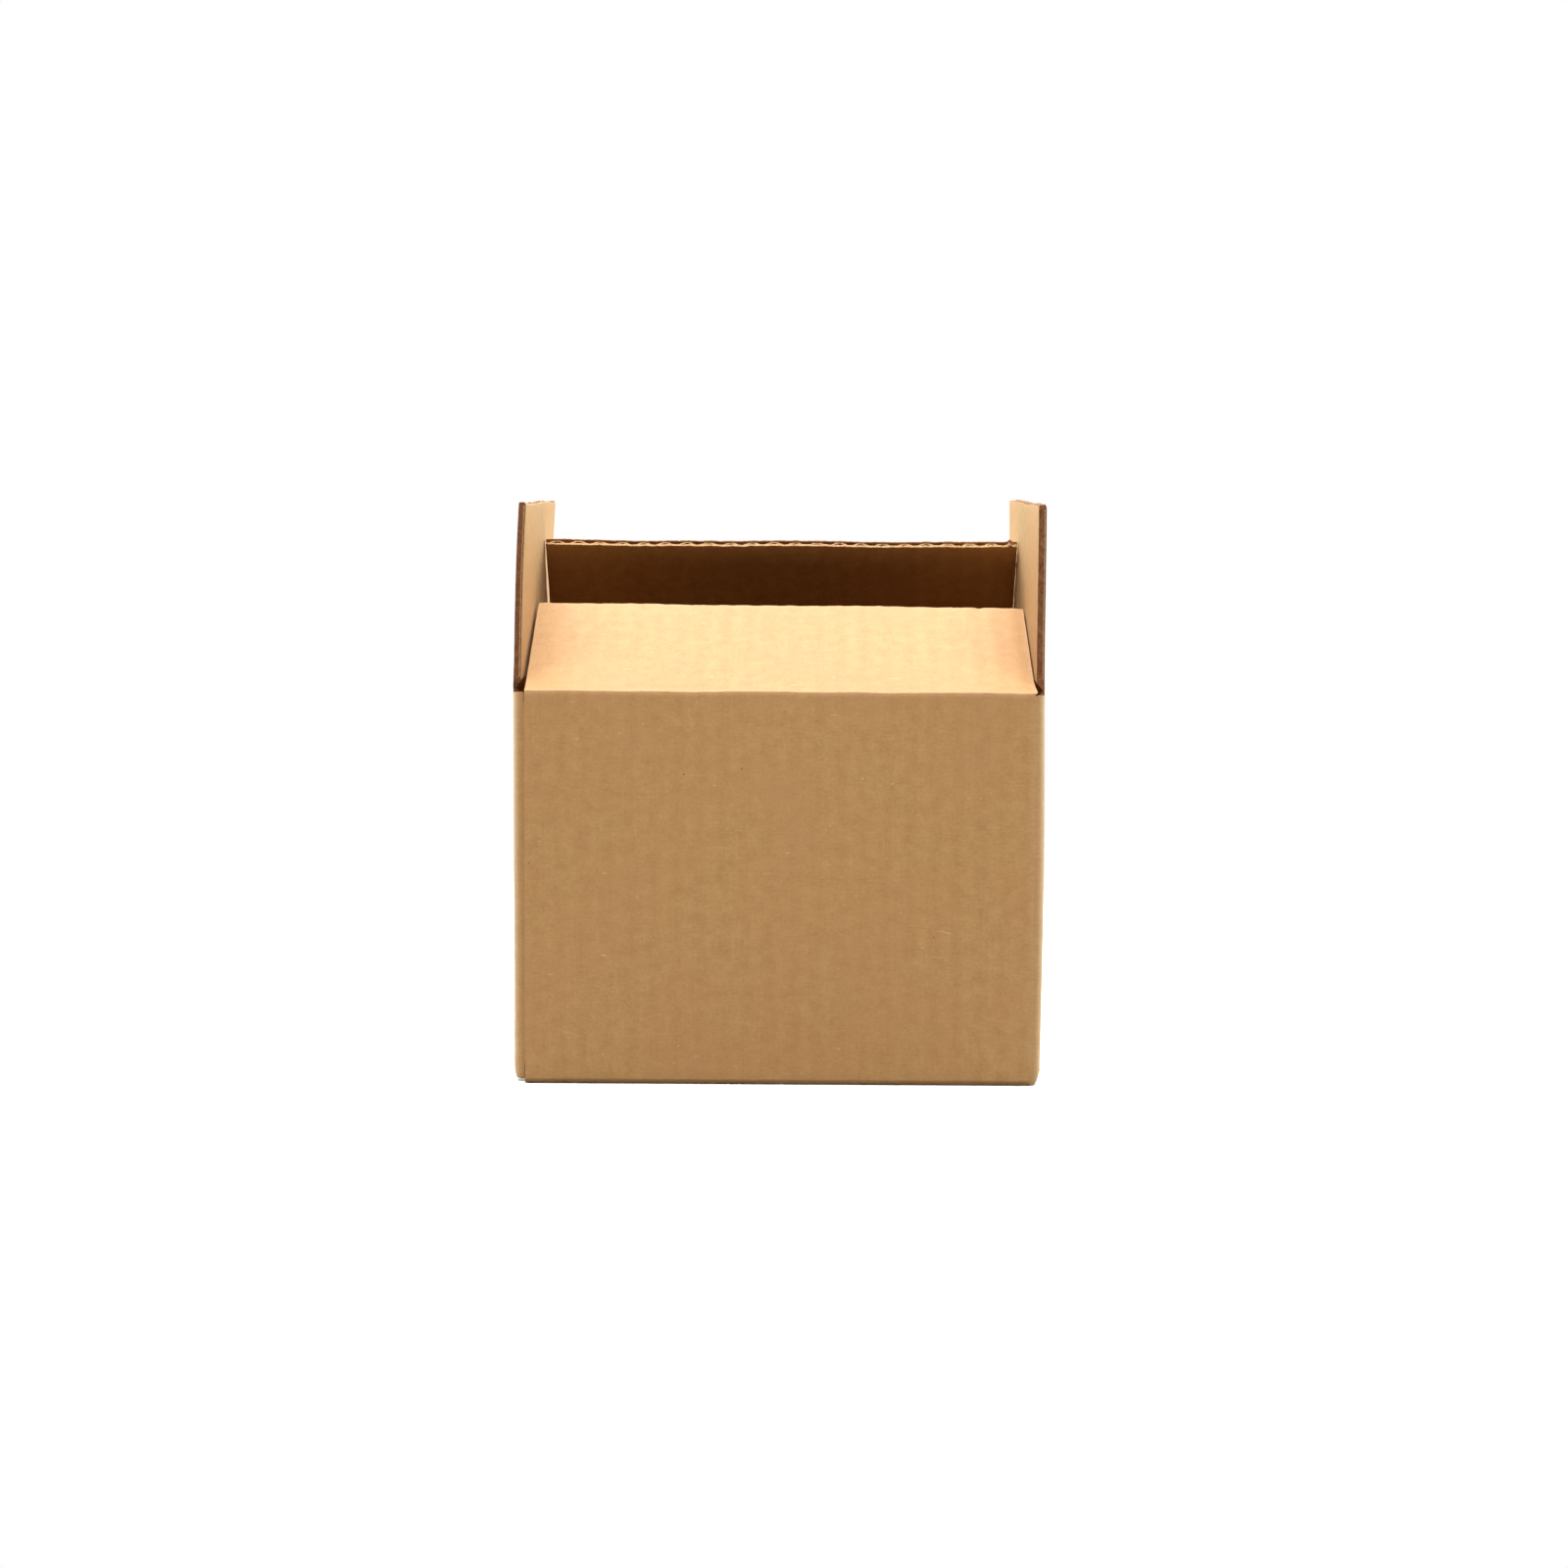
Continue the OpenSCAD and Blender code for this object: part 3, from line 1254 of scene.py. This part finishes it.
        t = np.clip((away - away[first]) / (away[last] - away[first]), 0.0, 1.0)[None, :, None]
        half = math.tan(math.radians(self.lean) / 2.0)
        score = self.score * bell(away, self.score_width)
        faces = []
        for near, rest in ((score + crush, self.score), (depth - crush, self.groove)):
            near = np.broadcast_to(near, u.shape)
            wall = b.place(self.side, u + self.spread(u, away), near, b.fold_height + away[None, :])
            flap = self.place(u, near, np.broadcast_to(away[None, :], u.shape))
            face = np.where((away < 0.0)[None, :, None], wall, flap)
            middle = b.place(
                self.side, u + self.spread(u, 0.0 * away), rest, b.fold_height - rest * half,
            )
            curve = (
                (1.0 - t) ** 2 * face[:, first : first + 1]
                + 2.0 * t * (1.0 - t) * middle
                + t**2 * face[:, last : last + 1]
            )
            face = np.where(inside[None, :, None], curve, face)
            face[..., 2] += wander
            faces.append(face)
        flat = b.flat(self.side, u, b.fold_height + away[None, :])
        # Painted paler along the fold: wear and painted highlight
        wear_highlight_share = self.fold_wear_and_highlight * bell(away, self.wear_width)
        sheet = Sheet(f"{self.name}_crease")
        sheet.slab(*faces, flat, wear_highlight_share, rims=ALL_ROUND, ends=Paper.SHADED_END)
        piece = sheet.build(papers)
        middle = (self.start + self.end) / 2.0
        below = b.place(self.side, middle, 0.0, b.fold_height - self.turn_reach)
        above = self.place(middle, 0.0, self.turn_reach)
        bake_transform(piece)


@dataclass
class Studio:
    """Pale floor, soft lamps, a white surround and the camera."""

    eye: Triple = (4.35, -1091.4, 205.66)
    pitch: float = 5.58
    yaw: float = 0.13
    roll: float = 0.32
    lens: float = 68.445
    sensor: float = 36.0
    floor_fade: Pair = (300.0, 560.0)
    floor_seen: str = "#f8f8f8"
    floor_bounce: str = "#828282"
    aim: Triple = (0.0, 0.0, 120.0)
    warm: Triple = (1.03, 1.0, 0.98)
    cool: Triple = (0.9, 1.0, 1.12)
    side: Triple = (0.84, 1.0, 1.02)

    def camera(self) -> None:
        """Sets the camera: right, up and back axes from yaw, then pitch, then roll."""
        p, y, r = (math.radians(a) for a in (self.pitch, self.yaw, self.roll))
        right = Vector((math.cos(y), math.sin(y), 0.0))
        ahead = Vector((-math.cos(p) * math.sin(y), math.cos(p) * math.cos(y), -math.sin(p)))
        above = Vector((-math.sin(p) * math.sin(y), math.sin(p) * math.cos(y), math.cos(p)))
        across = math.cos(r) * right + math.sin(r) * above
        over = -math.sin(r) * right + math.cos(r) * above
        data = bpy.data.cameras.new("camera")
        data.lens, data.sensor_width, data.clip_end = self.lens, self.sensor, 100.0
        eye = put("camera", data)
        turn = Matrix((across, over, -ahead)).transposed().to_4x4()
        eye.matrix_world = Matrix.Translation(Vector(self.eye) * MM) @ turn
        bpy.context.scene.camera = eye

    def seen(self, tree: bpy.types.NodeTree) -> bpy.types.NodeSocket:
        """Share that is 1 where the camera, a gloss or a clear body looks, and 0 elsewhere.

        Args:
            tree: Tree to add the nodes to.

        Returns:
            The share's socket.
        """
        path = add(tree, "LightPath").outputs
        gloss = add(tree, "Math", {"operation": "MAXIMUM"}, {
            0: path["Is Glossy Ray"], 1: path["Is Transmission Ray"],
        }).outputs[0]
        return add(tree, "Math", {"operation": "MAXIMUM"}, {
            0: path["Is Camera Ray"], 1: gloss,
        }).outputs[0]

    def floor(self) -> None:
        """Lays a round floor of matt card that fades into the surround at its rim.

        It is white where it is seen, and throws back less light than that, as a floor further
        off would.
        """
        made, tree, surface = new_material("matt_white_floor_card")
        place = add(tree, "TexCoord").outputs["Object"]
        away = add(tree, "VectorMath", {"operation": "LENGTH"}, {0: place}).outputs["Value"]
        near, far = (r * MM for r in self.floor_fade)
        share = add(tree, "MapRange", {"interpolation_type": "SMOOTHSTEP"}, {
            0: away, 1: near, 2: far, 3: 0.0, 4: 1.0,
        }).outputs[0]
        tint = add(tree, "Mix", {"data_type": "RGBA"}, {
            0: self.seen(tree),
            6: linear(self.floor_bounce), 7: linear(self.floor_seen),
        }).outputs[2]
        card = add(tree, "BsdfDiffuse", None, {"Color": tint}).outputs[0]
        clear = add(tree, "BsdfTransparent").outputs[0]
        mixed = add(tree, "MixShader", None, {0: share, 1: card, 2: clear})
        tree.links.new(mixed.outputs[0], surface)
        half = self.floor_fade[1] * MM
        corners = np.array([[-1, -1, 0], [1, -1, 0], [1, 1, 0], [-1, 1, 0]], float) * half
        mesh = bpy.data.meshes.new("floor")
        mesh.from_pydata(corners, [], [(0, 1, 2, 3)])
        mesh.materials.append(made)
        floor = put("floor", mesh)

    def lamp(self, name: str, at: Triple, size: Pair, power: float,
             colour: Triple) -> None:
        """Hangs one flat soft lamp that faces the carton.

        Args:
            name: The lamp's name.
            at: Where it hangs.
            size: Width and height.
            power: Watts.
            colour: Linear colour of its light.
        """
        data = bpy.data.lights.new(name, "AREA")
        data.shape, data.energy, data.color = "RECTANGLE", power, colour
        data.size, data.size_y = size[0] * MM, size[1] * MM
        lamp = put(name, data)
        place, ahead = Vector(at) * MM, Vector(self.aim) - Vector(at)
        turn = ahead.to_track_quat("-Z", "Y").to_matrix().to_4x4()
        lamp.matrix_world = Matrix.Translation(place) @ turn

    def world(self) -> None:
        """Makes the surround: white where it is seen, and no lamp to the carton."""
        world = bpy.data.worlds.new("surround")
        world.use_nodes = True
        tree = world.node_tree
        tree.nodes.clear()
        light = add(tree, "Background", None, {
            "Color": (1.0, 1.0, 1.0, 1.0), "Strength": self.seen(tree),
        })
        add(tree, "OutputWorld", None, {"Surface": light.outputs[0]})
        bpy.context.scene.world = world

    def build(self) -> None:
        """Sets up the whole studio."""
        self.camera()
        self.floor()
        self.world()
        self.lamp("front_softbox", (0.0, -700.0, 1600.0), (2400.0, 700.0), 56.5, self.warm)
        self.lamp("back_softbox", (0.0, 750.0, 1500.0), (1200.0, 700.0), 28.5, self.cool)
        for name, x in (("left_softbox", -1300.0), ("right_softbox", 1300.0)):
            self.lamp(name, (x, 500.0, 400.0), (700.0, 450.0), 24.5, self.side)


def top_flaps(blank: Blank) -> list[TopFlap]:
    """The four top flaps as they stand in the photograph.

    Args:
        blank: Sizes of the sheet.

    Returns:
        The flaps.
    """
    half_w, half_d = blank.width / 2.0, blank.depth / 2.0
    sides = (blank.side_end - half_d, half_d - blank.side_end)
    return [
        TopFlap(
            blank, Side.FRONT, "front_flap", 65.0, blank.flap_left - half_w,
            half_w - blank.flap_right + 0.55, 11, 0.4, bow=0.1, twist=0.6, curl=0.4, flare=0.9,
            kink=(75.0, 72.5, 0.3),
        ),
        TopFlap(
            blank, Side.BACK, "back_flap", 39.5, blank.flap_right - 0.35 - half_w,
            half_w - blank.flap_left, 23, 1.3, bow=0.3, twist=-0.2, trim=(-0.3, -0.6), widen=0.55,
            spike=(-85.5, 1.2),
        ),
        TopFlap(
            blank, Side.LEFT, "left_flap", 1.0, *sides, 37, 2.2, bow=-0.4, twist=-0.15, curl=1.0,
            trim=(-1.3, -2.0),
        ),
        TopFlap(
            blank, Side.RIGHT, "right_flap", 0.5, *sides, 41, 0.9, bow=-0.3, twist=0.5, pinch=0.1,
            inner_end=Paper.SHADED_END, trim=(-1.5, 0.0), corner=1.0,
        ),
    ]


def main() -> None:
    """Builds the carton's pieces and the studio in order."""
    logging.basicConfig(level=logging.INFO, format="%(name)s %(message)s")
    bpy.context.scene.view_settings.view_transform = "Standard"
    papers = [finish().make() for finish in (KraftLiner, CutBoard, FlutingMedium, ShadedCrushedEnd)]
    blank = Blank()
    Sleeve(blank).build(papers)
    for flap in top_flaps(blank):
        flap.build(papers)
        flap.crease(papers)
    Studio().build()


if __name__ == "__main__":
    main()
